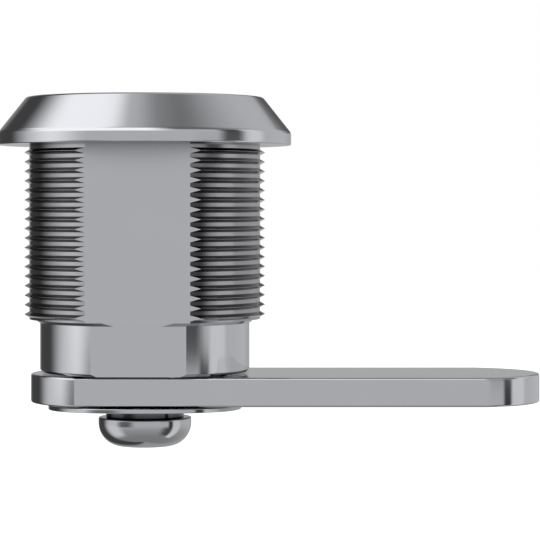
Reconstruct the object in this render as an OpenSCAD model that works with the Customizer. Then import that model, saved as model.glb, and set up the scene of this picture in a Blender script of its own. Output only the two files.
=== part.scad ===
// Quarter-turn lever lock for a panel 18 mm thick: a flanged double-flat housing, a triangular
// drive spindle turned with a socket key, and a flat lever clamped to the spindle's square tail.
// The origin is on the lock's axis at the underside of the flange, where the panel's face lies.
// +Z points out of the panel through the flange, and the lever rests along +X.

/* [Flange] */
// Diameter of the flange's rim
flange_d = 23.15; // [22:0.05:30]
// Height of the flange over the panel
flange_h = 3.78; // [3:0.02:6]
// Height of the flange's straight rim
rim_h = 0.98; // [0.6:0.02:2]
// Diameter of the flange's flat top
flange_top_d = 18.7; // [17:0.1:21]
// Radius of the round between the cone and the flat top
top_edge_r = 0.35; // [0.1:0.05:0.6]
// Radius of the round between the cone and the rim
rim_edge_r = 0.5; // [0.1:0.05:0.8]
// Radius of the round at the rim's lower edge
seat_edge_r = 0.1; // [0.05:0.05:0.3]

/* [Housing] */
// Outer diameter of the threaded barrel
barrel_d = 19; // [18:0.1:22]
// Distance across the barrel's two flats
barrel_af = 16.4; // [15.8:0.1:17.8]
// Length of the barrel under the flange
barrel_l = 13.95; // [12:0.05:24]
// Length of the taper at the barrel's end
barrel_taper_l = 0.6; // [0.3:0.05:1]
// Diameter of the collar below the barrel
collar_d = 16.55; // [16:0.05:18]
// Distance across the collar's two flats
collar_af = 14.85; // [14.6:0.05:16]
// Length of the collar
collar_l = 3.89; // [3.5:0.01:6]
// Width of the chamfer at the collar's end
collar_chamfer = 0.2; // [0.05:0.05:0.4]
// Diameter of the key recess
recess_d = 13.4; // [13:0.1:14.5]
// Depth of the key recess below the flange's top
recess_depth = 11.28; // [10.4:0.02:13]
// Width of the chamfer at the recess's mouth
recess_chamfer = 0.5; // [0.2:0.1:1]
// Diameter of the counterbore in the collar's end
counterbore_d = 11.8; // [11.7:0.1:12.2]
// Depth of the counterbore
counterbore_depth = 4.24; // [4.2:0.02:4.6]

/* [Spindle] */
// Diameter of the spindle's journal
journal_d = 9.5; // [9.3:0.1:9.8]
// Height of the spindle's sealing head
head_h = 3.95; // [3.4:0.05:4.5]
// Height of the triangular stud, measured across it from a flat to the opposite corner
drive_h = 7; // [6:0.1:7.6]
// Diameter over the stud's rounded corners
drive_corner_d = 8.8; // [8:0.1:9.4]
// Distance of the stud's end below the flange's top
drive_setback = 0.7; // [0.2:0.1:2]
// Chamfer at the stud's end
drive_chamfer = 0.5; // [0.2:0.1:0.8]
// Width across the spindle's square tail
square_af = 7; // [6.5:0.1:7.2]
// Diameter over the square's turned corners
square_corner_d = 9; // [8.6:0.1:9.2]
// Diameter of the lever screw's thread
screw_d = 4; // [3:0.5:4.5]
// Depth of the tapped hole in the tail
tap_depth = 9.6; // [8.9:0.1:11]

/* [Seal] */
// Thickness of the O-ring's section
seal_section = 1.5; // [1.2:0.1:1.7]
// Width of the groove beside the O-ring, in all
seal_groove_play = 0.3; // [0.1:0.1:0.5]

/* [Spring pack] */
// Thickness of the thrust washer
thrust_t = 0.5; // [0.3:0.05:0.6]
// Height of the disc spring
spring_h = 1.12; // [0.9:0.02:1.2]
// Thickness of the disc spring
spring_t = 0.45; // [0.3:0.05:0.6]
// Thickness of the retaining ring
clip_t = 0.8; // [0.6:0.05:1]
// Depth of the retaining ring's groove
clip_groove_depth = 0.4; // [0.2:0.05:0.6]
// Radial width of the retaining ring
clip_w = 1.35; // [1:0.05:1.4]
// Angle of the retaining ring's gap
clip_gap = 70; // [40:5:110]

/* [Stop] */
// Thickness of the stop washer
stop_t = 1.3; // [1:0.05:1.4]
// Angle through which the lever turns
turn = 90; // [45:5:120]
// Angle of the stop washer's lug
lug_angle = 50; // [30:5:60]
// Radial height of the lug over the washer
lug_h = 0.7; // [0.5:0.05:0.8]
// Distance between the collar and the lever
lever_gap = 0.145; // [0.1:0.005:0.4]

/* [Lever] */
// Thickness of the lever
lever_t = 2.265; // [1.5:0.005:3]
// Width of the lever
lever_w = 12.2; // [11.6:0.1:14]
// Distance from the axis to the lever's tip
lever_reach = 31.2; // [20:0.1:60]
// Distance from the axis to the lever's tail end
lever_tail = 9; // [8:0.1:12]
// Radius of the lever's round tip over half its width
tip_over = 0.2; // [0.05:0.05:6]
// Radius of the lever's round tail end over half its width
tail_over = 0.63; // [0.05:0.01:2]

/* [Fastener] */
// Diameter of the cover washer
cover_d = 15.25; // [13:0.05:18]
// Thickness of the cover washer
cover_t = 0.33; // [0.3:0.01:1]
// Height by which the cover washer is curved, over its whole width
cover_bow = 0.2; // [0.1:0.05:0.6]
// Diameter of the lock washer
lock_d = 6.15; // [5.8:0.05:7]
// Thickness of the lock washer
lock_t = 0.79; // [0.5:0.01:1.2]
// Width of the lock washer's split
lock_split = 0.5; // [0.2:0.1:1]
// Diameter of the screw's head
screw_head_d = 7.34; // [7.2:0.02:9]
// Height of the screw's head
screw_head_h = 2.3; // [2.2:0.05:3]
// Radius of the round at the head's outer end
screw_head_r = 1.85; // [0.8:0.05:1.9]
// Radius of the round at the head's rim
screw_rim_r = 0.1; // [0.05:0.05:0.25]
// Length of the screw below its head
screw_l = 10; // [9:0.5:10]
// Width across the flats of the screw's hexagonal socket
socket_af = 2.5; // [2:0.1:2.8]
// Depth of the screw's socket
socket_depth = 1.3; // [0.8:0.1:1.5]

/* [Clearances] */
// Radial clearance of a part that turns in a bore
running_clear = 0.05; // [0.02:0.01:0.1]
// Clearance between faces that slide past each other
face_clear = 0.03; // [0.02:0.01:0.06]
// Clearance of a square hole over the square tail, on each side
square_clear = 0.05; // [0.02:0.01:0.1]
// Radial clearance of the screw in the holes it passes through
screw_clear = 0.15; // [0.05:0.05:0.2]
// Radial clearance inside the tapped hole
thread_clear = 0.04; // [0.02:0.01:0.08]
// Clearance round the stop washer
stop_clear = 0.15; // [0.05:0.01:0.2]
// Angle left between the lug and the stop at each end of the turn
stop_play = 1; // [0.5:0.5:2]

/* [Hidden] */
$fn = 96;

// Heights, downwards from the flange's top
flange_top_z = flange_h;
collar_top_z = -barrel_l;
collar_end_z = collar_top_z - collar_l;
lever_top_z = collar_end_z - lever_gap;
lever_under_z = lever_top_z - lever_t;
cover_top_z = lever_under_z - face_clear;
cover_under_z = cover_top_z - cover_t;
cover_bend_r = (cover_d * cover_d / 4 + cover_bow * cover_bow) / (2 * cover_bow);
cover_in_r = cover_bend_r - cover_t;
cover_sag = cover_in_r - sqrt(cover_in_r * cover_in_r - lock_d * lock_d / 4);
lock_top_z = cover_under_z - cover_sag - face_clear;
lock_under_z = lock_top_z - lock_t;
screw_end_z = lock_under_z - screw_head_h;

// The key recess and the spindle's head
recess_floor_z = flange_top_z - recess_depth;
head_under_z = recess_floor_z + face_clear;
head_top_z = head_under_z + head_h;
head_d = recess_d - 2 * running_clear;
drive_end_z = flange_top_z - drive_setback;
drive_flat_r = drive_h - drive_corner_d / 2;
bearing_d = journal_d + 2 * running_clear;

// The O-ring and its groove at the middle of the head
seal_r = seal_section / 2;
seal_mid_r = head_d / 2 + running_clear - face_clear - seal_r;
seal_groove_r = seal_mid_r - seal_r - face_clear;
seal_groove_w = seal_section + seal_groove_play;
seal_z = head_under_z + head_h / 2;

// The spring pack in the counterbore, from its floor down
counterbore_floor_z = collar_end_z + counterbore_depth;
thrust_top_z = counterbore_floor_z;
spring_top_z = thrust_top_z - thrust_t - face_clear;
clip_top_z = spring_top_z - spring_h - face_clear;
pack_outer_r = counterbore_d / 2 - stop_clear;
pack_inner_r = journal_d / 2 + running_clear;
groove_r = journal_d / 2 - clip_groove_depth;
clip_inner_r = groove_r + face_clear;
clip_outer_r = clip_inner_r + clip_w;

// The stop washer and the pocket that limits its lug
stop_top_z = lever_top_z + stop_t;
stop_r = pack_outer_r;
lug_r = stop_r + lug_h;
pocket_r = lug_r + stop_clear;
pocket_floor_z = stop_top_z + stop_clear;
pocket_angle = turn + lug_angle + 2 * stop_play;

// The tail, the screw and its holes
tail_end_z = lever_under_z + face_clear * 3;
tap_r = screw_d / 2;
screw_r = tap_r - thread_clear;
screw_hole_r = tap_r + screw_clear;

// How far cuts run past a face, and by how much a round's circle is larger than one that only touches
past = 1;
crossing = 1.002;

// The sliver outside a round of radius r at corner p of an outline, between neighbours a and b.
// The round's circle is a touch large, so that it crosses the outline's edges and doesn't only graze them.
module corner_waste(p, a, b, r) {
    u = (a - p) / norm(a - p);
    v = (b - p) / norm(b - p);
    half = acos(u * v) / 2;
    t1 = p + u * r / tan(half);
    t2 = p + v * r / tan(half);
    c = p + (u + v) / norm(u + v) * r / sin(half);
    difference() {
        polygon([c, c + (t1 - c) * 1.4, c + (p - c) * 1.8, c + (t2 - c) * 1.4]);
        translate(c) circle(r * crossing);
    }
}

// A ring of rectangular section from height z0 up to z1
module ring(outer_r, inner_r, z0, z1) {
    difference() {
        translate([0, 0, z0]) cylinder(r = outer_r, h = z1 - z0);
        translate([0, 0, z0 - past]) cylinder(r = inner_r, h = z1 - z0 + 2 * past);
    }
}

// A wedge of the plane from the axis, spread evenly about +X
module sector(angle, reach) {
    side = reach / cos(angle / 4);
    polygon([[0, 0], for (i = [-2 : 2]) side * [cos(i * angle / 4), sin(i * angle / 4)]]);
}

// A slab on both sides of the XZ plane that leaves two flats on what it meets
module between_flats(af, z0, z1) {
    translate([-flange_d, -af / 2, z0]) cube([2 * flange_d, af, z1 - z0]);
}

// The section of the square tail, with its corners turned off
module square_section(grow) {
    intersection() {
        square(square_af + 2 * grow, center = true);
        circle(d = square_corner_d + 2 * grow);
    }
}

// Half the flange's section
module flange_profile() {
    rim = [flange_d / 2, rim_h];
    top = [flange_top_d / 2, flange_h];
    foot = [flange_d / 2, 0];
    difference() {
        polygon([[0, 0], foot, rim, top, [0, flange_h]]);
        corner_waste(rim, foot, top, rim_edge_r);
        corner_waste(top, rim, [0, flange_h], top_edge_r);
        corner_waste(foot, [0, 0], rim, seat_edge_r);
    }
}

// Half the barrel's section at the thread's outer diameter, with a taper down to the collar
module barrel_profile() {
    r = barrel_d / 2;
    polygon([
        [0, past / 2], [r, past / 2], [r, collar_top_z + barrel_taper_l],
        [collar_d / 2, collar_top_z], [0, collar_top_z]
    ]);
}

// Half the collar's section, with its end edge chamfered
module collar_profile() {
    r = collar_d / 2;
    polygon([
        [0, collar_top_z + past / 2], [r, collar_top_z + past / 2], [r, collar_end_z + collar_chamfer],
        [r - collar_chamfer, collar_end_z], [0, collar_end_z]
    ]);
}

// The hollow inside the housing, from the key recess to the stop pocket
module housing_hollow() {
    recess_r = recess_d / 2;
    translate([0, 0, recess_floor_z]) cylinder(r = recess_r, h = recess_depth + past);
    translate([0, 0, flange_top_z - recess_chamfer])
        cylinder(r1 = recess_r, r2 = recess_r + recess_chamfer + past, h = recess_chamfer + past);
    translate([0, 0, counterbore_floor_z - past])
        cylinder(d = bearing_d, h = recess_floor_z - counterbore_floor_z + 2 * past);
    translate([0, 0, collar_end_z - past])
        cylinder(d = counterbore_d, h = counterbore_depth + past);
    stop_pocket();
}

// The part of a ring in which the stop washer's lug swings
module stop_pocket() {
    intersection() {
        translate([0, 0, collar_end_z - past])
            cylinder(r = pocket_r, h = pocket_floor_z - collar_end_z + past);
        translate([0, 0, collar_end_z - 2 * past])
            linear_extrude(collar_l + 2 * past) sector(pocket_angle, pocket_r + past);
    }
}

// Housing: flange, barrel and collar in one casting
module housing() color([0.72, 0.72, 0.71]) {
    difference() {
        union() {
            rotate_extrude() flange_profile();
            intersection() {
                rotate_extrude() barrel_profile();
                between_flats(barrel_af, collar_top_z, past / 2);
            }
            intersection() {
                rotate_extrude() collar_profile();
                between_flats(collar_af, collar_end_z, collar_top_z + past / 2);
            }
        }
        housing_hollow();
    }
}

// The triangular stud that the socket key fits, with a chamfered end
module drive_stud() {
    corner_r = drive_corner_d / 2;
    stud_h = drive_end_z - head_top_z;
    intersection() {
        translate([0, 0, head_top_z - past / 2])
            cylinder(r = 2 * drive_flat_r, h = stud_h + past / 2, $fn = 3);
        rotate_extrude() polygon([
            [0, head_top_z - past / 2], [corner_r, head_top_z - past / 2],
            [corner_r, drive_end_z - drive_chamfer], [corner_r - drive_chamfer, drive_end_z],
            [0, drive_end_z]
        ]);
    }
}

// Spindle: stud, sealing head, journal with the retaining ring's groove, and the tapped square tail
module spindle() color([0.66, 0.66, 0.65]) {
    journal_r = journal_d / 2;
    head_r = head_d / 2;
    groove_half = seal_groove_w / 2;
    difference() {
        union() {
            drive_stud();
            rotate_extrude() polygon([
                [0, head_top_z], [head_r, head_top_z],
                [head_r, seal_z + groove_half], [seal_groove_r, seal_z + groove_half],
                [seal_groove_r, seal_z - groove_half], [head_r, seal_z - groove_half],
                [head_r, head_under_z], [journal_r, head_under_z],
                [journal_r, clip_top_z + face_clear], [groove_r, clip_top_z + face_clear],
                [groove_r, clip_top_z - clip_t - face_clear], [journal_r, clip_top_z - clip_t - face_clear],
                [journal_r, stop_top_z], [0, stop_top_z]
            ]);
            translate([0, 0, tail_end_z]) linear_extrude(stop_top_z - tail_end_z + past / 4) square_section(0);
        }
        translate([0, 0, tail_end_z - past]) cylinder(r = tap_r, h = tap_depth + past);
    }
}

// O-ring in the head's groove
module spindle_seal() color([0.06, 0.06, 0.06]) {
    translate([0, 0, seal_z]) rotate_extrude() translate([seal_mid_r, 0]) circle(r = seal_r, $fn = 48);
}

// Thrust washer on the counterbore's floor
module thrust_washer() color([0.75, 0.68, 0.5]) {
    ring(pack_outer_r, pack_inner_r, thrust_top_z - thrust_t, thrust_top_z);
}

// Disc spring between the thrust washer and the retaining ring
module disc_spring() color([0.6, 0.6, 0.62]) {
    rise = spring_h - spring_t;
    under = spring_top_z - spring_h;
    rotate_extrude() polygon([
        [pack_inner_r, spring_top_z - spring_t], [pack_inner_r, spring_top_z],
        [pack_outer_r, spring_top_z - rise], [pack_outer_r, under]
    ]);
}

// Retaining ring, open on one side, in the journal's groove
module retaining_ring() color([0.55, 0.55, 0.57]) {
    difference() {
        ring(clip_outer_r, clip_inner_r, clip_top_z - clip_t, clip_top_z);
        translate([0, 0, clip_top_z - clip_t - past])
            linear_extrude(clip_t + 2 * past) rotate(180) sector(clip_gap, clip_outer_r + past);
    }
}

// Stop washer on the square tail: its lug swings in the housing's stop pocket
module stop_washer() color([0.7, 0.7, 0.7]) {
    lug_rest = -turn / 2;
    translate([0, 0, lever_top_z]) linear_extrude(stop_t) difference() {
        union() {
            circle(r = stop_r);
            intersection() {
                circle(r = lug_r);
                rotate(lug_rest) sector(lug_angle, lug_r + past);
            }
        }
        square_section(square_clear);
    }
}

// Lever with a square hole: a straight bar whose two round ends are a little wider than the bar
module lever() color([0.72, 0.72, 0.71]) {
    tip_r = lever_w / 2 + tip_over;
    tail_r = lever_w / 2 + tail_over;
    tip_x = lever_reach - tip_r;
    tail_x = tail_r - lever_tail;
    translate([0, 0, lever_under_z]) linear_extrude(lever_t) difference() {
        intersection() {
            translate([-lever_tail - past, -lever_w / 2]) square([lever_reach + lever_tail + 2 * past, lever_w]);
            union() {
                translate([tip_x, 0]) circle(tip_r);
                translate([tail_x, 0]) circle(tail_r);
                translate([tail_x, -lever_w]) square([tip_x - tail_x, 2 * lever_w]);
            }
        }
        square_section(square_clear);
    }
}

// Curved washer under the lever: it bears along its middle, and its sides at the lever's two ends hang down
module cover_washer() color([0.74, 0.74, 0.73]) {
    intersection() {
        ring(cover_d / 2, screw_hole_r, cover_under_z - cover_bow - past, cover_top_z + past);
        translate([0, cover_d, cover_top_z - cover_bend_r]) rotate([90, 0, 0])
            linear_extrude(2 * cover_d) difference() {
                circle(cover_bend_r);
                circle(cover_in_r);
            }
    }
}

// Split lock washer, open at the back
module lock_washer() color([0.6, 0.6, 0.6]) {
    difference() {
        ring(lock_d / 2, screw_hole_r, lock_under_z, lock_top_z);
        translate([-lock_split / 2, 0, lock_under_z - past]) cube([lock_split, lock_d, lock_t + 2 * past]);
    }
}

// Screw with a pan head and a hexagonal socket
module lever_screw() color([0.74, 0.74, 0.73]) {
    head_r = screw_head_d / 2;
    shank_end_z = lock_under_z + screw_l;
    end_edge = [head_r, screw_end_z];
    rim = [head_r, lock_under_z];
    difference() {
        union() {
            rotate_extrude() difference() {
                translate([0, screw_end_z]) square([head_r, screw_head_h]);
                corner_waste(end_edge, [0, screw_end_z], rim, screw_head_r);
                corner_waste(rim, end_edge, [0, lock_under_z], screw_rim_r);
            }
            translate([0, 0, lock_under_z - past / 4]) cylinder(r = screw_r, h = screw_l + past / 4 - screw_r / 4);
            translate([0, 0, shank_end_z - screw_r / 4])
                cylinder(r1 = screw_r, r2 = screw_r * 0.75, h = screw_r / 4);
        }
        translate([0, 0, screw_end_z - past])
            cylinder(d = socket_af / cos(30), h = socket_depth + past, $fn = 6);
    }
}

housing();
spindle();
spindle_seal();
thrust_washer();
disc_spring();
retaining_ring();
stop_washer();
lever();
cover_washer();
lock_washer();
lever_screw();
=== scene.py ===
"""Quarter-turn lever lock: a chromium-plated housing with a fine thread and a flat steel lever, in a light tent."""
import math

import bmesh
import bpy
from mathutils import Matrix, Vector


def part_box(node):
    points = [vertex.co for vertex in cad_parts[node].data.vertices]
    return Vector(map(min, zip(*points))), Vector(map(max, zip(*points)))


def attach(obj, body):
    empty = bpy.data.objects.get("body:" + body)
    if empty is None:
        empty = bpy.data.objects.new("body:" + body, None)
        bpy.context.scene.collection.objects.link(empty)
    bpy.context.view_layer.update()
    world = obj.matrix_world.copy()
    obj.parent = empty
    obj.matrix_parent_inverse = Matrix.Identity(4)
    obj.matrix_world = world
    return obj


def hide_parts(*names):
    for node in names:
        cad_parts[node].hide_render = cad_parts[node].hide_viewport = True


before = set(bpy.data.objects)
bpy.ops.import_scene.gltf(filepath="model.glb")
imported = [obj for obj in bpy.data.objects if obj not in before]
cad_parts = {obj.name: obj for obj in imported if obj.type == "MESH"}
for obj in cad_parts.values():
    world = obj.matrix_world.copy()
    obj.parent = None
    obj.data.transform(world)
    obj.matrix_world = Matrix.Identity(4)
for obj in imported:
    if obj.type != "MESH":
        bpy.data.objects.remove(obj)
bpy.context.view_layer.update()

MM = 0.001

# The part's sizes, in millimetres: those that the frame holds are read from it
housing_lo, housing_hi = (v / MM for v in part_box("housing"))
lever_lo, lever_hi = (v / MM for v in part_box("lever"))
cover_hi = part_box("cover_washer")[1] / MM
lock_lo, lock_hi = (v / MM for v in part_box("lock_washer"))
screw_lo, screw_hi = (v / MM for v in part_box("lever_screw"))
spindle_lo, spindle_hi = (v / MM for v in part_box("spindle"))

# The small round that plating leaves on turned and cast edges
EDGE_R = 0.06
# How far beyond a round the next row of points stands, so that a flat or straight face is shaded as one
HOLD = 0.03
# Faces that meet at more than this angle have a sharp edge between them
SHARP_DEG = 20.0

FLANGE_R = housing_hi.x
FLANGE_TOP = housing_hi.z
RIM_H = 0.98
FLANGE_TOP_R = 9.35
TOP_EDGE_R = 0.35
RIM_EDGE_R = 0.5
SEAT_EDGE_R = 0.1

BARREL_END = -13.95
BARREL_FLAT = 8.2
COLLAR_R = 8.275
COLLAR_FLAT = 7.425
COLLAR_END = housing_lo.z
COLLAR_CHAMFER = 0.2
# The housing's flats stand a little off square to the lever, within the play of the lever's stop
FLATS_TURN = 89.0

# The barrel's thread: a 60 degree form with flat crests and roots, 19 mm over the crests
THREAD_R = 9.5
THREAD_ROOT_R = 9.12
THREAD_PITCH = 0.75
THREAD_CREST_W = 0.02
THREAD_FOOT_W = 0.46
THREAD_FIRST = -0.575
THREAD_COUNT = 18
# Under the thread's end a short neck narrows down to the collar
NECK_L = 0.25
NECK_TOP_R = 8.65
NECK_END_R = 8.4

RECESS_R = 6.7
RECESS_CHAMFER = 0.5
RECESS_FLOOR = -7.5
BEARING_R = 4.8
COUNTERBORE_R = 5.9
COUNTERBORE_FLOOR = -13.6
POCKET_R = 6.6
POCKET_FLOOR = -16.535
POCKET_ANGLE = math.radians(142)

# The lever's two round ends, the steps that each is drawn in, its edges and its square hole
TIP_R = 6.3
TAIL_R = 6.73
END_STEPS = 56
CORNER_SETBACK = 0.004
LEVER_EDGE_R = 0.16
LEVER_HOLE_R = 4.55
LEVER_HOLE_FLAT = 3.55

# The curved washer under the lever
COVER_T = 0.33
COVER_BOW = 0.2
COVER_EDGE_R = 0.04

# The spindle, from the stud's end down
STUD_R = 4.4
STUD_FLAT = 2.6
STUD_CHAMFER = 0.5
STUD_EDGE = 0.1
STUD_FILLET = 0.2
HEAD_R = 6.65
HEAD_TOP = -3.52
HEAD_UNDER = -7.47
SEAL_Z = -5.495
SEAL_GROOVE_R = 5.14
SEAL_GROOVE_W = 1.8
JOURNAL_R = 4.75
CLIP_GROOVE_R = 4.35
CLIP_GROOVE = (-15.25, -16.11)
JOURNAL_END = -16.685
SQUARE_R = 4.5
SQUARE_FLAT = 3.5
TAP_R = 2.0
TAP_END = -10.56
TAP_CHAMFER = 0.2
SPINDLE_BEVEL = 0.15

# The lock washer and the screw
HOLE_R = 2.15
LOCK_SPLIT = 0.5
SHANK_R = 1.96
SCREW_HEAD_R = 1.85
SCREW_RIM_R = 0.12
SOCKET_FLAT = 1.25
SOCKET_DEPTH = 1.3
SOCKET_LEAD = 0.12
SOCKET_CONE = 0.35
# Where a loft closes on the axis, its last ring has this radius, and its points merge at this distance
TIP_HOLE_R = 0.001
TIP_MERGE = 0.004

# The photograph's viewpoint in millimetres, its lens, and how far its picture is shifted
CAMERA_AT = (9.9, -191.6, -4.72)
CAMERA_LENS = 161.3
CAMERA_SHIFT = -0.1204

# The studio: a floor well below the object and a dome that glows inside
FLOOR_Z = -185.0
FLOOR_R = 6000.0
FLOOR_TONE = 0.62
FLOOR_GLOW = 0.85
SKY_LIGHT = 0.6
TENT_R = 330.0

# The tent's own wall by height, and the softboxes and dark flags that hang in it. An angle of 0 is towards the
# photograph's viewpoint and grows towards the lever's side. Each panel: from and to angle, from and to height in
# millimetres, brightness, and how soft its side edges are in degrees and its other edges in millimetres.
WALL_LEVELS = [(-300, 0.3), (-150, 0.45), (-50, 0.65), (330, 0.65)]
DARK_BACK = (-165, -110, -330, 330, 0.07, 30, 6)
KEY_BOX = (-90, -56, -46, 165, 1.15, 34, 6)
KEY_TOP = (-120, -44, 165, 330, 1.4, 36, 60)
KEY_FOOT = (-105, -62, -250, -46, 0.85, 26, 60)
FOOT_FLAG = (-66, -30, -85, -36, 0.1, 24, 50)
DIM_BACK_LEFT = (-200, -165, -330, 330, 0.45, 30, 6)
DIM_BACK_RIGHT = (150, 200, -330, 330, 0.45, 30, 6)
BACK_FLAG_LEFT = (-200, -165, 25, 140, 0.12, 30, 30)
BACK_FLAG_RIGHT = (150, 200, 25, 140, 0.12, 30, 30)
DIM_CEILING = (5, 95, 165, 330, 0.2, 70, 60)
RIGHT_FLAG_TOP = (64, 84, 4, 165, 0.1, 12, 2)
RIGHT_FLAG_MIDDLE = (42, 66, -38, 4, 0.1, 16, 2)
RIGHT_FLAG_WAIST = (64, 77, -250, -37, 0.05, 6, 2)
RIGHT_FLAG_FOOT = (50, 76, -250, -95, 0.1, 24, 70)
RIGHT_BOX_TOP = (88, 106, 4, 165, 0.9, 12, 2)
RIGHT_BOX = (77, 100, -270, 4, 0.85, 8, 6)
FRONT_LAMP = (-90, 16, 50, 270, 1.5, 30, 10)
# In the order in which they are painted, each over those before it
PANELS = [DARK_BACK, DIM_BACK_LEFT, DIM_BACK_RIGHT, BACK_FLAG_LEFT, BACK_FLAG_RIGHT, KEY_BOX, KEY_TOP, KEY_FOOT,
          FOOT_FLAG, DIM_CEILING, RIGHT_FLAG_TOP, RIGHT_FLAG_MIDDLE, RIGHT_FLAG_WAIST, RIGHT_FLAG_FOOT, RIGHT_BOX_TOP,
          RIGHT_BOX, FRONT_LAMP]

# The size of the slow change in a plate's tone, and the height of any relief that is drawn by bump
CLOUD_MM = 4.0
RELIEF_MM = 0.01


# Colour and material nodes

def srgb(code):
    """A linear colour from an sRGB hex code such as C8C8C6."""
    channels = [int(code[i:i + 2], 16) / 255 for i in (0, 2, 4)]
    return (*[c / 12.92 if c <= 0.04045 else ((c + 0.055) / 1.055) ** 2.4 for c in channels], 1.0)


def new_material(name):
    """An empty material with its output, and its node tree."""
    material = bpy.data.materials.new(name)
    material.use_nodes = True
    material.node_tree.nodes.clear()
    return material, material.node_tree


def add(tree, kind, settings=None, **inputs):
    """Adds a node: settings are its own properties, and inputs are values or sockets for its sockets.
    An input's name is the socket's name with underscores, or i0, i1 and so on for a socket's place."""
    node = tree.nodes.new(kind)
    for key, value in (settings or {}).items():
        setattr(node, key, value)
    for key, value in inputs.items():
        by_place = key[0] == "i" and key[1:].isdigit()
        socket = node.inputs[int(key[1:])] if by_place else node.inputs[key.replace("_", " ")]
        if isinstance(value, bpy.types.NodeSocket):
            tree.links.new(value, socket)
        else:
            socket.default_value = value
    return node


def ramp(tree, factor, stops):
    """A colour ramp over (position, colour) stops; a colour may be a single grey number."""
    node = add(tree, "ShaderNodeValToRGB", i0=factor)
    elements = node.color_ramp.elements
    while len(elements) < len(stops):
        elements.new(1.0)
    for element, (position, colour) in zip(elements, stops):
        element.position = position
        element.color = (colour, colour, colour, 1.0) if isinstance(colour, (int, float)) else colour
    return node.outputs["Color"]


def painted_crevice_shade(tree, colour, dark, reach_mm):
    """The colour where a surface is open, going over to a painted shade, near black, in gaps and corners."""
    open_sky = add(tree, "ShaderNodeAmbientOcclusion", {"samples": 12}, Distance=reach_mm * MM)
    share = ramp(tree, open_sky.outputs["AO"], [(0.20, 0.0), (0.34, 0.08), (0.45, 0.30), (0.56, 0.56), (0.64, 0.77),
                                                (0.72, 0.89), (0.88, 1.0)])
    mixed = add(tree, "ShaderNodeMix", {"data_type": "RGBA"}, i0=share, i6=srgb(dark), i7=colour)
    return mixed.outputs[2]


def plated_metal(name, colour, darker, roughness, spread, line_mm, bump, reach_mm):
    """Plated metal: a mirror softened by a very fine grain, a little uneven in tone and gloss over a few
    millimetres, and painted with shade in its gaps. line_mm is the spacing of the grain, which is too fine to show as
    lines and reads as a slight haze, and bump is its depth. spread is how far the roughness wanders, and reach_mm how
    near another surface has to be to darken it with painted shade."""
    material, tree = new_material(name)
    place = add(tree, "ShaderNodeTexCoord").outputs["Object"]
    clouds = add(tree, "ShaderNodeTexNoise", Vector=place, Scale=1 / (CLOUD_MM * MM), Detail=3.0, Roughness=0.5)
    grain = add(tree, "ShaderNodeTexNoise", Vector=place, Scale=1 / (line_mm * MM), Detail=2.0, Roughness=0.6)
    tone = ramp(tree, clouds.outputs["Fac"], [(0.3, srgb(darker)), (0.7, srgb(colour))])
    gloss = add(tree, "ShaderNodeMapRange", Value=clouds.outputs["Fac"], From_Min=0.3, From_Max=0.7,
                To_Min=roughness - spread, To_Max=roughness + spread)
    relief = add(tree, "ShaderNodeBump", Height=grain.outputs["Fac"], Strength=bump, Distance=RELIEF_MM * MM)
    surface = add(tree, "ShaderNodeBsdfPrincipled", Base_Color=painted_crevice_shade(tree, tone, "0C0C0D", reach_mm),
                  Metallic=1.0, Roughness=gloss.outputs["Result"], Normal=relief.outputs["Normal"])
    add(tree, "ShaderNodeOutputMaterial", Surface=surface.outputs["BSDF"])
    return material


def thread_with_painted_shade():
    """Chromium-plated thread with painted shade: darker than the plain faces, most of all on the flanks that look
    up, and least on the flanks that look down."""
    material, tree = new_material("zinc_casting_thread_chromium_painted_shade")
    normal = add(tree, "ShaderNodeNewGeometry").outputs["Normal"]
    upward = add(tree, "ShaderNodeSeparateXYZ", Vector=normal).outputs["Z"]
    share = add(tree, "ShaderNodeMapRange", Value=upward, From_Min=-0.9, From_Max=0.9)
    slope_shade = ramp(tree, share.outputs["Result"], [(0.1, srgb("BCBCBF")), (0.45, srgb("A9A9AC")), (0.55, srgb("A9A9AC")),
                                                (0.9, srgb("58585A"))])
    surface = add(tree, "ShaderNodeBsdfPrincipled", Base_Color=painted_crevice_shade(tree, slope_shade, "0C0C0D", 0.4), Metallic=1.0,
                  Roughness=0.08)
    add(tree, "ShaderNodeOutputMaterial", Surface=surface.outputs["BSDF"])
    return material


def nitrile_rubber():
    """Moulded nitrile rubber: near black, dull, with a faint mould texture."""
    material, tree = new_material("nitrile_rubber_moulded")
    place = add(tree, "ShaderNodeTexCoord").outputs["Object"]
    grain = add(tree, "ShaderNodeTexNoise", Vector=place, Scale=1 / (0.15 * MM), Detail=2.0)
    tone = ramp(tree, grain.outputs["Fac"], [(0.3, srgb("151516")), (0.7, srgb("202022"))])
    relief = add(tree, "ShaderNodeBump", Height=grain.outputs["Fac"], Strength=0.2, Distance=RELIEF_MM * MM)
    surface = add(tree, "ShaderNodeBsdfPrincipled", Base_Color=tone, Roughness=0.6, IOR=1.52,
                  Normal=relief.outputs["Normal"])
    add(tree, "ShaderNodeOutputMaterial", Surface=surface.outputs["BSDF"])
    return material


def tumbled_bronze():
    """Stamped bronze with a tumbled surface: yellow brown and a little dull."""
    material, tree = new_material("bronze_tumbled")
    place = add(tree, "ShaderNodeTexCoord").outputs["Object"]
    clouds = add(tree, "ShaderNodeTexNoise", Vector=place, Scale=1 / (1.5 * MM), Detail=3.0)
    tone = ramp(tree, clouds.outputs["Fac"], [(0.3, srgb("9A7B4F")), (0.7, srgb("B8965F"))])
    surface = add(tree, "ShaderNodeBsdfPrincipled", Base_Color=tone, Metallic=1.0, Roughness=0.35)
    add(tree, "ShaderNodeOutputMaterial", Surface=surface.outputs["BSDF"])
    return material


# Mesh building, in millimetres

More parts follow.
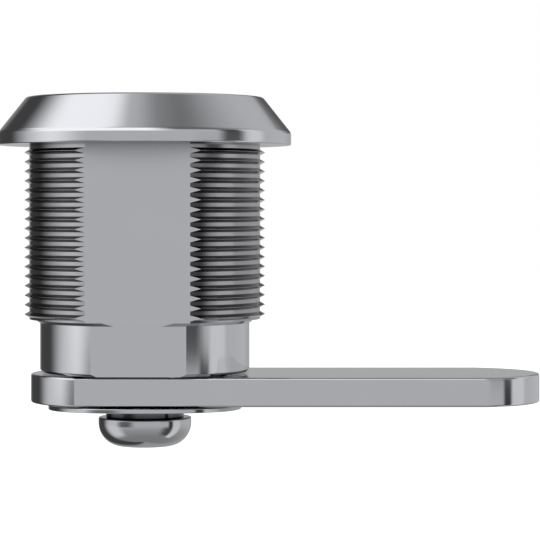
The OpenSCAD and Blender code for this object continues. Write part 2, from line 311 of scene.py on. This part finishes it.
def ring_of(radius, z, flat=None, sides=2, turn=90.0, spread=26.0, round_steps=96, flat_steps=40):
    """Points round the axis at height z: a circle, cut by flats at distance flat from the axis where that is given.
    The flats are centred on turn and at equal angles from it, and spread is half the angle that one has on a plain
    circle, so that rings with and without flats join point to point."""
    half = math.acos(min(1.0, flat / radius)) if flat else math.radians(spread)
    points = []
    for side in range(sides):
        middle = math.radians(turn) + side * math.tau / sides
        start, end = (Vector((radius * math.cos(middle + s * half), radius * math.sin(middle + s * half), z))
                      for s in (-1, 1))
        for i in range(flat_steps):
            share = i / flat_steps
            if flat:
                points.append(start.lerp(end, share))
            else:
                a = middle + half * (2 * share - 1)
                points.append(Vector((radius * math.cos(a), radius * math.sin(a), z)))
        arc = math.tau / sides - 2 * half
        for i in range(round_steps):
            a = middle + half + arc * i / round_steps
            points.append(Vector((radius * math.cos(a), radius * math.sin(a), z)))
    return points


def loft(mesh, rings, closed=False):
    """Joins rings of equally many points with four-sided faces; closed joins the last ring to the first."""
    rows = [[mesh.verts.new(p) for p in ring] for ring in rings]
    pairs = list(zip(rows, rows[1:] + rows[:1])) if closed else list(zip(rows, rows[1:]))
    count = len(rows[0])
    for upper, lower in pairs:
        for i in range(count):
            mesh.faces.new((upper[i], upper[(i + 1) % count], lower[(i + 1) % count], lower[i]))
    return rows


def rounded_corner(corner, before, after, radius, steps=6):
    """The arc that rounds a corner of an outline of (r, z) points, with a point held on the straight at both ends."""
    u = (Vector(before) - Vector(corner)).normalized()
    v = (Vector(after) - Vector(corner)).normalized()
    half = u.angle(v) / 2
    centre = Vector(corner) + (u + v).normalized() * radius / math.sin(half)
    first = Vector(corner) + u * radius / math.tan(half) - centre
    last = Vector(corner) + v * radius / math.tan(half) - centre
    sweep = math.atan2(first.x * last.y - first.y * last.x, first.dot(last))
    turned = []
    for i in range(steps + 1):
        a = sweep * i / steps
        turned.append(tuple(centre + Vector((first.x * math.cos(a) - first.y * math.sin(a),
                                             first.x * math.sin(a) + first.y * math.cos(a)))))
    held = radius / math.tan(half) + HOLD
    return [tuple(Vector(corner) + u * held)] + turned + [tuple(Vector(corner) + v * held)]


def finish_piece(name, mesh, material, body, node):
    """Turns a mesh in millimetres into a finished piece that rides on a body and stands for a CAD node."""
    bmesh.ops.remove_doubles(mesh, verts=mesh.verts, dist=1e-5)
    bmesh.ops.recalc_face_normals(mesh, faces=mesh.faces)
    bmesh.ops.scale(mesh, vec=(MM, MM, MM), verts=mesh.verts)
    data = bpy.data.meshes.new(name)
    mesh.to_mesh(data)
    mesh.free()
    data.shade_smooth()
    data.set_sharp_from_angle(angle=math.radians(SHARP_DEG))
    data.materials.append(material)
    piece = bpy.data.objects.new(name, data)
    bpy.context.scene.collection.objects.link(piece)
    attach(piece, body)
    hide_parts(node)
    return piece


# The pieces

def flange_outline():
    """(r, z) points of the flange from the recess's mouth round to its underside."""
    mouth = (RECESS_R + RECESS_CHAMFER, FLANGE_TOP)
    top = (FLANGE_TOP_R, FLANGE_TOP)
    rim = (FLANGE_R, RIM_H)
    foot = (FLANGE_R, 0.0)
    seat = (THREAD_R, 0.0)
    outline = [(RECESS_R, FLANGE_TOP - RECESS_CHAMFER), mouth]
    outline += rounded_corner(top, mouth, rim, TOP_EDGE_R)
    outline += rounded_corner(rim, top, foot, RIM_EDGE_R)
    outline += rounded_corner(foot, rim, seat, SEAT_EDGE_R, 4)
    return outline


def thread_outline():
    """(r, z) points down the threaded barrel, from the flange to the neck at its end."""
    outline = [(THREAD_ROOT_R, 0.0)]
    for i in range(THREAD_COUNT):
        z = THREAD_FIRST - i * THREAD_PITCH
        outline += [(THREAD_ROOT_R, z + THREAD_FOOT_W / 2), (THREAD_R, z + THREAD_CREST_W / 2),
                    (THREAD_R, z - THREAD_CREST_W / 2), (THREAD_ROOT_R, z - THREAD_FOOT_W / 2)]
    return outline + [(THREAD_ROOT_R, BARREL_END + NECK_L), (NECK_TOP_R, BARREL_END + NECK_L),
                      (NECK_END_R, BARREL_END)]


def collar_outline():
    """(r, z) points down the collar to its chamfered end."""
    top = (COLLAR_R, BARREL_END)
    edge = (COLLAR_R, COLLAR_END + COLLAR_CHAMFER)
    foot = (COLLAR_R - COLLAR_CHAMFER, COLLAR_END)
    outline = [top] + rounded_corner(edge, top, foot, EDGE_R, 2)
    return outline + rounded_corner(foot, edge, (COUNTERBORE_R, COLLAR_END), EDGE_R, 2)


def bore_outline():
    """(r, z) points up through the housing, from the counterbore to the key recess."""
    return [(COUNTERBORE_R, COLLAR_END), (COUNTERBORE_R, COUNTERBORE_FLOOR), (BEARING_R, COUNTERBORE_FLOOR),
            (BEARING_R, RECESS_FLOOR), (RECESS_R, RECESS_FLOOR)]


def pocket_cutter():
    """The space in which the stop washer's lug swings, as a solid that cuts the housing."""
    mesh = bmesh.new()
    # An odd number, so that no edge of the cutter meets an edge of the housing
    steps = 47
    rings = []
    for radius, z in ((COUNTERBORE_R - 1, POCKET_FLOOR), (POCKET_R, POCKET_FLOOR),
                      (POCKET_R, COLLAR_END - 1), (COUNTERBORE_R - 1, COLLAR_END - 1)):
        angles = [POCKET_ANGLE * (i / steps - 0.5) for i in range(steps + 1)]
        rings.append([Vector((radius * math.cos(a), radius * math.sin(a), z)) for a in angles])
    rows = [[mesh.verts.new(p) for p in ring] for ring in rings]
    for a, b in zip(rows, rows[1:] + rows[:1]):
        for i in range(steps):
            mesh.faces.new((a[i], a[i + 1], b[i + 1], b[i]))
    for end in (0, -1):
        mesh.faces.new([row[end] for row in rows])
    bmesh.ops.recalc_face_normals(mesh, faces=mesh.faces)
    bmesh.ops.scale(mesh, vec=(MM, MM, MM), verts=mesh.verts)
    data = bpy.data.meshes.new("pocket_cutter")
    mesh.to_mesh(data)
    mesh.free()
    cutter = bpy.data.objects.new("pocket_cutter", data)
    bpy.context.scene.collection.objects.link(cutter)
    return cutter


def cut(piece, cutter):
    """Takes the cutter's space out of the piece, and deletes the cutter."""
    modifier = piece.modifiers.new("cut", "BOOLEAN")
    modifier.operation = "DIFFERENCE"
    modifier.solver = "EXACT"
    modifier.object = cutter
    result = bpy.data.meshes.new_from_object(piece.evaluated_get(bpy.context.evaluated_depsgraph_get()))
    piece.modifiers.remove(modifier)
    old = piece.data
    piece.data = result
    bpy.data.meshes.remove(old)
    bpy.data.objects.remove(cutter)
    piece.data.set_sharp_from_angle(angle=math.radians(SHARP_DEG))


def housing(material, thread_material, collar_material):
    """The housing: a closed skin from the flange over the thread and collar and up through the bore. The thread's
    faces, without the two flats, and the collar with the neck above it get materials of their own."""
    mesh = bmesh.new()
    rings = [ring_of(r, z) for r, z in flange_outline()]
    rings += [ring_of(r, z, BARREL_FLAT, turn=FLATS_TURN) for r, z in thread_outline()]
    rings += [ring_of(r, z, COLLAR_FLAT, turn=FLATS_TURN) for r, z in collar_outline()]
    rings += [ring_of(r, z) for r, z in bore_outline()]
    loft(mesh, rings, closed=True)
    piece = finish_piece("lock_housing", mesh, material, "housing_body", "housing")
    cut(piece, pocket_cutter())
    piece.data.materials.append(thread_material)
    piece.data.materials.append(collar_material)
    across_flats = Vector((math.cos(math.radians(FLATS_TURN)), math.sin(math.radians(FLATS_TURN)), 0.0))
    for face in piece.data.polygons:
        centre = face.center / MM
        on_barrel = BARREL_END + NECK_L < centre.z < 0.0 and centre.xy.length > THREAD_ROOT_R - 0.05
        if on_barrel and abs(centre.dot(across_flats)) < BARREL_FLAT - 0.001:
            face.material_index = 1
        elif centre.z < BARREL_END + NECK_L and centre.xy.length > POCKET_R:
            face.material_index = 2
    return piece


def lever_outline():
    """(x, y, outward x, outward y) round the lever: straight sides that two round ends cut off at a shallow corner."""
    half = lever_hi.y
    outline = []
    for sign, reach, end_r in ((1, lever_hi.x, TIP_R), (-1, -lever_lo.x, TAIL_R)):
        middle = reach - end_r
        spread = math.asin(half / end_r)
        side_x = middle + end_r * math.cos(spread)
        points = [(side_x - CORNER_SETBACK, -half, 0.0, -1.0)]
        for i in range(END_STEPS + 1):
            a = spread * (2 * i / END_STEPS - 1)
            points.append((middle + end_r * math.cos(a), end_r * math.sin(a), math.cos(a), math.sin(a)))
        points.append((side_x - CORNER_SETBACK, half, 0.0, 1.0))
        outline += [(sign * x, sign * y, sign * nx, sign * ny) for x, y, nx, ny in points]
    return outline


def lever(material):
    """The flat lever: stamped, with its edges a little rounded, and a square hole."""
    mesh = bmesh.new()
    edge = LEVER_EDGE_R
    outline = lever_outline()
    round_off = [(edge + HOLD, 0.0)]
    round_off += [(edge * (1 - math.sin(a)), edge * (1 - math.cos(a))) for a in (math.pi / 8 * i for i in range(5))]
    round_off += [(0.0, edge + HOLD)]
    rings = [[Vector((x - nx * inset, y - ny * inset, lever_hi.z - drop)) for x, y, nx, ny in outline]
             for inset, drop in round_off]
    rings += [[Vector((x - nx * inset, y - ny * inset, lever_lo.z + drop)) for x, y, nx, ny in outline]
              for inset, drop in reversed(round_off)]
    rows = loft(mesh, rings)
    hole = [ring_of(LEVER_HOLE_R, z, LEVER_HOLE_FLAT, sides=4, turn=0.0, round_steps=8, flat_steps=6)
            for z in (lever_hi.z, lever_lo.z)]
    hole_rows = loft(mesh, hole)
    for row, hole_row in ((rows[0], hole_rows[0]), (rows[-1], hole_rows[-1])):
        edges = []
        for loop in (row, hole_row):
            for a, b in zip(loop, loop[1:] + loop[:1]):
                found = mesh.edges.get((a, b))
                if found:
                    edges.append(found)
        bmesh.ops.triangle_fill(mesh, edges=edges, use_beauty=True)
    return finish_piece("lock_lever", mesh, material, "lever_body", "lever")


def cover_washer(material):
    """The curved spring washer under the lever: it touches along its middle, and its two wings hang a little."""
    mesh = bmesh.new()
    outer, inner = cover_hi.x, HOLE_R
    top, under, edge = cover_hi.z, cover_hi.z - COVER_T, COVER_EDGE_R
    outline = [(inner, top)]
    outline += rounded_corner((outer, top), (inner, top), (outer, under), edge, 4)
    outline += rounded_corner((outer, under), (outer, top), (inner, under), edge, 4)
    outline += [(inner, under)]
    loft(mesh, [ring_of(r, z) for r, z in outline], closed=True)
    for vert in mesh.verts:
        vert.co.z -= COVER_BOW * (vert.co.x / outer) ** 2
    return finish_piece("lock_cover_washer", mesh, material, "lever_body", "cover_washer")


def lock_washer(material):
    """The lock washer: a ring of square section, split at the back, with its edges a little rounded."""
    mesh = bmesh.new()
    outer, top, under = lock_hi.x, lock_hi.z, lock_lo.z
    section = [(HOLE_R, under), (HOLE_R, top)]
    section += rounded_corner((outer, top), (HOLE_R, top), (outer, under), EDGE_R, 3)
    section += rounded_corner((outer, under), (outer, top), (HOLE_R, under), EDGE_R, 3)
    gap = math.asin(LOCK_SPLIT / 2 / outer)
    steps = 120
    rings = []
    for i in range(steps + 1):
        a = math.pi / 2 + gap + (math.tau - 2 * gap) * i / steps
        rings.append([Vector((r * math.cos(a), r * math.sin(a), z)) for r, z in section])
    rows = loft(mesh, rings)
    mesh.faces.new(rows[0])
    mesh.faces.new(rows[-1])
    return finish_piece("lock_split_washer", mesh, material, "lever_body", "lock_washer")


def lever_screw(material):
    """The pan-head screw with a hexagonal socket and a plain shank."""
    mesh = bmesh.new()
    head_r, under, end, tip = screw_hi.x, lock_lo.z, screw_lo.z, screw_hi.z
    corner = SOCKET_FLAT / math.cos(math.pi / 6)
    across = {"sides": 6, "turn": 0.0, "spread": 30.0, "round_steps": 1, "flat_steps": 24}
    outline = [(SHANK_R * 0.75, tip), (SHANK_R, tip - SHANK_R / 4), (SHANK_R, under)]
    outline += rounded_corner((head_r, under), (0, under), (head_r, end), SCREW_RIM_R, 5)
    outline += rounded_corner((head_r, end), (head_r, under), (0, end), SCREW_HEAD_R, 20)
    outline += [(corner + SOCKET_LEAD, end)]
    rings = [ring_of(TIP_HOLE_R, tip, **across)] + [ring_of(r, z, **across) for r, z in outline]
    rings += [ring_of(corner, z, SOCKET_FLAT, **across) for z in (end + 0.1, end + SOCKET_DEPTH)]
    rings += [ring_of(TIP_HOLE_R, end + SOCKET_DEPTH + SOCKET_CONE, **across)]
    loft(mesh, rings)
    bmesh.ops.remove_doubles(mesh, verts=mesh.verts, dist=TIP_MERGE)
    return finish_piece("lock_lever_screw", mesh, material, "lever_body", "lever_screw")


def spindle(material):
    """The spindle: a triangular stud with bevelled edges on a sealing head, then the journal and the square tail."""
    mesh = bmesh.new()
    end, tail = spindle_hi.z, spindle_lo.z
    three = {"sides": 3, "turn": 60.0, "spread": 50.0, "round_steps": 10, "flat_steps": 30}
    stud = [(STUD_R - STUD_CHAMFER, end, STUD_FLAT - STUD_EDGE),
            (STUD_R - STUD_CHAMFER + STUD_EDGE, end - STUD_EDGE, STUD_FLAT),
            (STUD_R, end - STUD_CHAMFER, STUD_FLAT), (STUD_R, HEAD_TOP + STUD_FILLET, STUD_FLAT),
            (STUD_R + STUD_FILLET, HEAD_TOP, STUD_FLAT + STUD_FILLET)]
    outline = [(HEAD_R - SPINDLE_BEVEL, HEAD_TOP), (HEAD_R, HEAD_TOP - SPINDLE_BEVEL)]
    for z in (SEAL_Z + SEAL_GROOVE_W / 2, SEAL_Z - SEAL_GROOVE_W / 2):
        outline += [(HEAD_R, z), (SEAL_GROOVE_R, z)] if z > SEAL_Z else [(SEAL_GROOVE_R, z), (HEAD_R, z)]
    outline += [(HEAD_R, HEAD_UNDER), (JOURNAL_R, HEAD_UNDER), (JOURNAL_R, CLIP_GROOVE[0]),
                (CLIP_GROOVE_R, CLIP_GROOVE[0]), (CLIP_GROOVE_R, CLIP_GROOVE[1]), (JOURNAL_R, CLIP_GROOVE[1]),
                (JOURNAL_R, JOURNAL_END)]
    rings = [ring_of(TIP_HOLE_R, end, **three)] + [ring_of(r, z, flat, **three) for r, z, flat in stud]
    rings += [ring_of(r, z, **three) for r, z in outline]
    # The square tail and the tapped hole: as many points in a ring, of which the 16th lies nearest to the stud's first
    four = {"sides": 4, "turn": 0.0, "spread": 35.0, "round_steps": 10, "flat_steps": 20}
    first = 15
    square = [ring_of(r, z, flat, **four) for r, z, flat in (
        (SQUARE_R, JOURNAL_END, SQUARE_FLAT), (SQUARE_R, tail + SPINDLE_BEVEL, SQUARE_FLAT),
        (SQUARE_R - SPINDLE_BEVEL, tail, SQUARE_FLAT - SPINDLE_BEVEL))]
    square += [ring_of(r, z, **four) for r, z in (
        (TAP_R + TAP_CHAMFER, tail), (TAP_R, tail + TAP_CHAMFER), (TAP_R, TAP_END), (TIP_HOLE_R, TAP_END))]
    loft(mesh, rings + [ring[first:] + ring[:first] for ring in square])
    bmesh.ops.remove_doubles(mesh, verts=mesh.verts, dist=TIP_MERGE)
    return finish_piece("lock_spindle", mesh, material, "lever_body", "spindle")


def studio():
    """A pale floor, a light tent of soft panels round the object, and a white background."""
    world = bpy.data.worlds.new("white_studio")
    bpy.context.scene.world = world
    world.use_nodes = True
    tree = world.node_tree
    tree.nodes.clear()
    path = add(tree, "ShaderNodeLightPath")
    seen = add(tree, "ShaderNodeMath", {"operation": "MAXIMUM"}, i0=path.outputs["Is Camera Ray"],
               i1=path.outputs["Is Glossy Ray"])
    seen = add(tree, "ShaderNodeMath", {"operation": "MAXIMUM"}, i0=seen.outputs[0],
               i1=path.outputs["Is Transmission Ray"])
    level = add(tree, "ShaderNodeMapRange", Value=seen.outputs[0], To_Min=SKY_LIGHT, To_Max=1.0)
    sky = add(tree, "ShaderNodeBackground", Color=(1.0, 1.0, 1.0, 1.0), Strength=level.outputs["Result"])
    add(tree, "ShaderNodeOutputWorld", Surface=sky.outputs["Background"])
    floor()
    tent()


def floor():
    """A pale matt floor below the object, lifted to white for the camera. Reflections see the tent through it."""
    material, tree = new_material("floor_paper")
    path = add(tree, "ShaderNodeLightPath")
    paper = add(tree, "ShaderNodeBsdfDiffuse", Color=(FLOOR_TONE, FLOOR_TONE, FLOOR_TONE, 1.0))
    glow = add(tree, "ShaderNodeEmission", Color=(1.0, 1.0, 1.0, 1.0), Strength=FLOOR_GLOW)
    nothing = add(tree, "ShaderNodeEmission", Strength=0.0)
    lift = add(tree, "ShaderNodeMixShader", i0=path.outputs["Is Camera Ray"], i1=nothing.outputs[0],
               i2=glow.outputs[0])
    both = add(tree, "ShaderNodeAddShader", i0=paper.outputs[0], i1=lift.outputs[0])
    add(tree, "ShaderNodeOutputMaterial", Surface=both.outputs[0])
    mesh = bmesh.new()
    bmesh.ops.create_circle(mesh, cap_ends=True, segments=64, radius=FLOOR_R * MM)
    data = bpy.data.meshes.new("floor")
    mesh.to_mesh(data)
    mesh.free()
    data.materials.append(material)
    ground = bpy.data.objects.new("floor", data)
    ground.location.z = FLOOR_Z * MM
    ground.visible_glossy = False
    bpy.context.scene.collection.objects.link(ground)


def between(tree, value, start, end, soft):
    """1 where the value lies from start to end and 0 outside, with edges that are soft over a length."""
    enter = add(tree, "ShaderNodeMapRange", {"interpolation_type": "SMOOTHSTEP"}, Value=value,
                From_Min=start - soft / 2, From_Max=start + soft / 2)
    leave = add(tree, "ShaderNodeMapRange", {"interpolation_type": "SMOOTHSTEP"}, Value=value,
                From_Min=end - soft / 2, From_Max=end + soft / 2)
    return add(tree, "ShaderNodeMath", {"operation": "SUBTRACT"}, i0=enter.outputs["Result"],
               i1=leave.outputs["Result"]).outputs[0]


def tent():
    """The light tent: a dome with softboxes and dark flags in its wall, which only reflections and light see."""
    material, tree = new_material("tent_panels")
    place = add(tree, "ShaderNodeTexCoord").outputs["Object"]
    axes = add(tree, "ShaderNodeSeparateXYZ", Vector=place)
    forward = add(tree, "ShaderNodeMath", {"operation": "MULTIPLY"}, i0=axes.outputs["Y"], i1=-1.0)
    angle = add(tree, "ShaderNodeMath", {"operation": "ARCTAN2"}, i0=axes.outputs["X"], i1=forward.outputs[0])
    height = axes.outputs["Z"]
    climb = add(tree, "ShaderNodeMapRange", Value=height, From_Min=-TENT_R * MM, From_Max=TENT_R * MM)
    tone = ramp(tree, climb.outputs["Result"], [((z + TENT_R) / (2 * TENT_R), level) for z, level in WALL_LEVELS])
    for start, end, low, high, level, soft_deg, soft_mm in PANELS:
        sideways = between(tree, angle.outputs[0], *(math.radians(a) for a in (start, end, soft_deg)))
        upright = between(tree, height, *(h * MM for h in (low, high, soft_mm)))
        cover = add(tree, "ShaderNodeMath", {"operation": "MULTIPLY"}, i0=sideways, i1=upright)
        tone = add(tree, "ShaderNodeMix", {"data_type": "RGBA"}, i0=cover.outputs[0], i6=tone,
                   i7=(level, level, level, 1.0)).outputs[2]
    glow = add(tree, "ShaderNodeEmission", Color=tone, Strength=1.0)
    add(tree, "ShaderNodeOutputMaterial", Surface=glow.outputs[0])
    mesh = bmesh.new()
    bmesh.ops.create_uvsphere(mesh, u_segments=96, v_segments=48, radius=TENT_R * MM)
    data = bpy.data.meshes.new("tent")
    mesh.to_mesh(data)
    mesh.free()
    data.materials.append(material)
    dome = bpy.data.objects.new("tent", data)
    dome.visible_camera = False
    dome.visible_shadow = False
    bpy.context.scene.collection.objects.link(dome)


def camera():
    """The photograph's viewpoint: level, square to the lever, about 190 mm away with a long lens."""
    data = bpy.data.cameras.new("photo_camera")
    data.sensor_width = 36.0
    data.lens = CAMERA_LENS
    data.shift_y = CAMERA_SHIFT
    data.clip_start = 0.01
    data.clip_end = 20.0
    view = bpy.data.objects.new("photo_camera", data)
    view.location = [v * MM for v in CAMERA_AT]
    view.rotation_euler = (math.radians(90), 0.0, 0.0)
    bpy.context.scene.collection.objects.link(view)
    bpy.context.scene.camera = view


def dress_node(name, material):
    """Gives a CAD node that stays its finished material."""
    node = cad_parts[name]
    node.data.materials.clear()
    node.data.materials.append(material)


bpy.context.scene.view_settings.view_transform = "Standard"
camera()
studio()

# Each plate below is darkened by painted shade near other surfaces, as far out as its last number gives in millimetres
# Chromium plate on a zinc casting: a cool, even grey mirror, with soft painted shade in the corners under the flange
chrome_cast = plated_metal("zinc_casting_chromium", "CBCCD0", "C9CACE", 0.07, 0.01, 0.05, 0.03, 3.4)
# The same plate on the collar, whose painted shade reaches only a tenth of a millimetre, so that none lies under the
# barrel's end
chrome_collar = plated_metal("zinc_casting_chromium_collar", "CBCCD0", "C9CACE", 0.07, 0.01, 0.05, 0.03, 0.1)
# Chromium plate on stamped steel: the same grey, a little softer, with a narrow painted shade where it meets other
# parts
chrome_lever = plated_metal("stamped_steel_chromium", "CBCCD0", "C9CACE", 0.08, 0.01, 0.05, 0.03, 0.4)
# Chromium plate on turned steel: painted shade darkens it where the washer and the screw's head face each other
chrome_bright = plated_metal("turned_steel_chromium", "CACBCF", "C7C8CC", 0.09, 0.01, 0.04, 0.03, 2.0)
# Nickel plate on turned steel: warmer and duller than the chromium
nickel_turned = plated_metal("turned_steel_nickel_plated", "C9C5BC", "BFBBB1", 0.20, 0.03, 0.05, 0.12, 2.0)
# Zinc-plated spring steel in a darker grey than the other plates: a dim grey neck between two brighter pieces
zinc_washer = plated_metal("spring_steel_zinc_darkened", "9C9DA0", "949598", 0.08, 0.01, 0.04, 0.03, 2.0)
# Zinc-plated spring steel: light grey and rather dull
zinc_spring = plated_metal("spring_steel_zinc_plated", "B4B4B4", "A6A6A6", 0.3, 0.04, 0.05, 0.15, 1.0)

# The thread's material paints shade by which way its faces look, and darker still in its roots
housing(chrome_cast, thread_with_painted_shade(), chrome_collar)
lever(chrome_lever)
cover_washer(chrome_bright)
lock_washer(zinc_washer)
lever_screw(chrome_bright)
spindle(nickel_turned)
dress_node("spindle_seal", nitrile_rubber())
dress_node("thrust_washer", tumbled_bronze())
dress_node("disc_spring", zinc_spring)
dress_node("retaining_ring", zinc_spring)
dress_node("stop_washer", chrome_lever)
